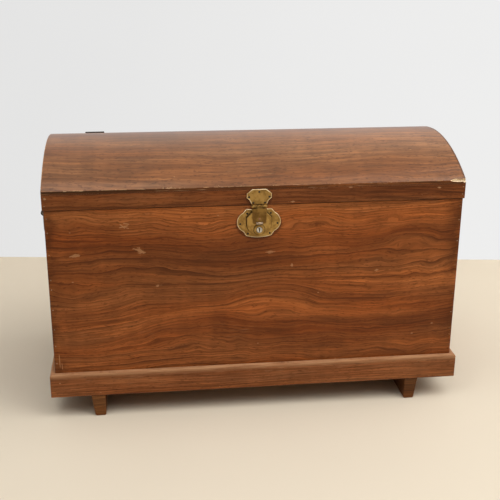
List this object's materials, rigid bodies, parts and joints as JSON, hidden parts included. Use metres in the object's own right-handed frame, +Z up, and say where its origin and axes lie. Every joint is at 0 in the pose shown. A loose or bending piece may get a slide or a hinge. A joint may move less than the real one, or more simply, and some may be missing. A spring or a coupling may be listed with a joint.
{
  "type": "dome top trunk",
  "caption": "Wooden storage trunk with a bent dome lid on strap hinges, a hasp lock with key plug and sliding bolt, drop handles on the ends, a moulded plinth and runners.",
  "frame": {"origin": "on the floor under the middle of the trunk's width and of the box's depth", "axes": "+Z up, +X to the right seen from the front, front towards -Y"},
  "size_m": [0.82, 0.4051, 0.5066],
  "materials": {
    "varnished_wood": "red-brown wood with flowing dark grain, worn satin varnish",
    "dome_wood": "lighter brown plywood veneer, worn satin varnish",
    "aged_brass": "aged olive-gold brass, polished on the edges",
    "lock_steel": "bright steel",
    "dark_iron": "dark wrought iron, dull"
  },
  "bodies": {
    "carcass": {"front_panel": "varnished_wood", "back_panel": "varnished_wood", "left_end_panel": "varnished_wood", "right_end_panel": "varnished_wood", "bottom_panel": "varnished_wood", "plinth_front": "varnished_wood", "plinth_back": "varnished_wood", "plinth_left": "varnished_wood", "plinth_right": "varnished_wood", "left_runner": "varnished_wood", "right_runner": "varnished_wood", "runner_screws": "dark_iron", "lock_plate": "aged_brass", "lock_back_plate": "lock_steel", "lock_cylinder": "aged_brass", "lock_plate_pins": "dark_iron", "left_hinge_body_strap": "dark_iron", "right_hinge_body_strap": "dark_iron", "left_hinge_pin": "dark_iron", "right_hinge_pin": "dark_iron", "hinge_body_screws": "dark_iron", "left_handle_plate": "dark_iron", "right_handle_plate": "dark_iron", "handle_screws": "dark_iron"},
    "lid": {"lid_front_rail": "varnished_wood", "lid_back_rail": "varnished_wood", "lid_left_end": "varnished_wood", "lid_right_end": "varnished_wood", "lid_dome_skin": "dome_wood", "left_hinge_lid_strap": "dark_iron", "right_hinge_lid_strap": "dark_iron", "hinge_lid_screws": "dark_iron", "hasp_plate": "aged_brass", "hasp_plate_pins": "dark_iron", "hasp_pin": "aged_brass"},
    "hasp": {"hasp_flap": "aged_brass", "hasp_staple": "lock_steel"},
    "key_plug": {"lock_plug": "lock_steel", "lock_cam": "lock_steel"},
    "bolt": {"lock_bolt": "lock_steel"},
    "left_handle": {"left_bail": "dark_iron"},
    "right_handle": {"right_bail": "dark_iron"}
  },
  "joints": [
    {"name": "lid_hinge", "type": "hinge", "parent": "carcass", "child": "lid", "pos_m": [0, 0.1959, 0.4153], "axis": [-1, 0, 0], "range_deg": [0, 110]},
    {"name": "hasp_swing", "type": "hinge", "parent": "lid", "child": "hasp", "pos_m": [0, -0.1962, 0.4135], "axis": [-1, 0, 0], "range_deg": [0, 140]},
    {"name": "key_turn", "type": "hinge", "parent": "carcass", "child": "key_plug", "pos_m": [0, -0.1952, 0.3693], "axis": [0, 1, 0], "range_deg": [0, 80]},
    {"name": "bolt_slide", "type": "slide", "parent": "carcass", "child": "bolt", "axis": [1, 0, 0], "range_m": [0, 0.0135]},
    {"name": "left_bail_swing", "type": "hinge", "parent": "carcass", "child": "left_handle", "pos_m": [-0.404, 0, 0.37], "axis": [0, 1, 0], "range_deg": [0, 180]},
    {"name": "right_bail_swing", "type": "hinge", "parent": "carcass", "child": "right_handle", "pos_m": [0.404, 0, 0.37], "axis": [0, -1, 0], "range_deg": [0, 180]}
  ],
  "couplings": [
    {"joint": "bolt_slide", "follows": "key_turn", "m_per_rad": 0.009667}
  ]
}
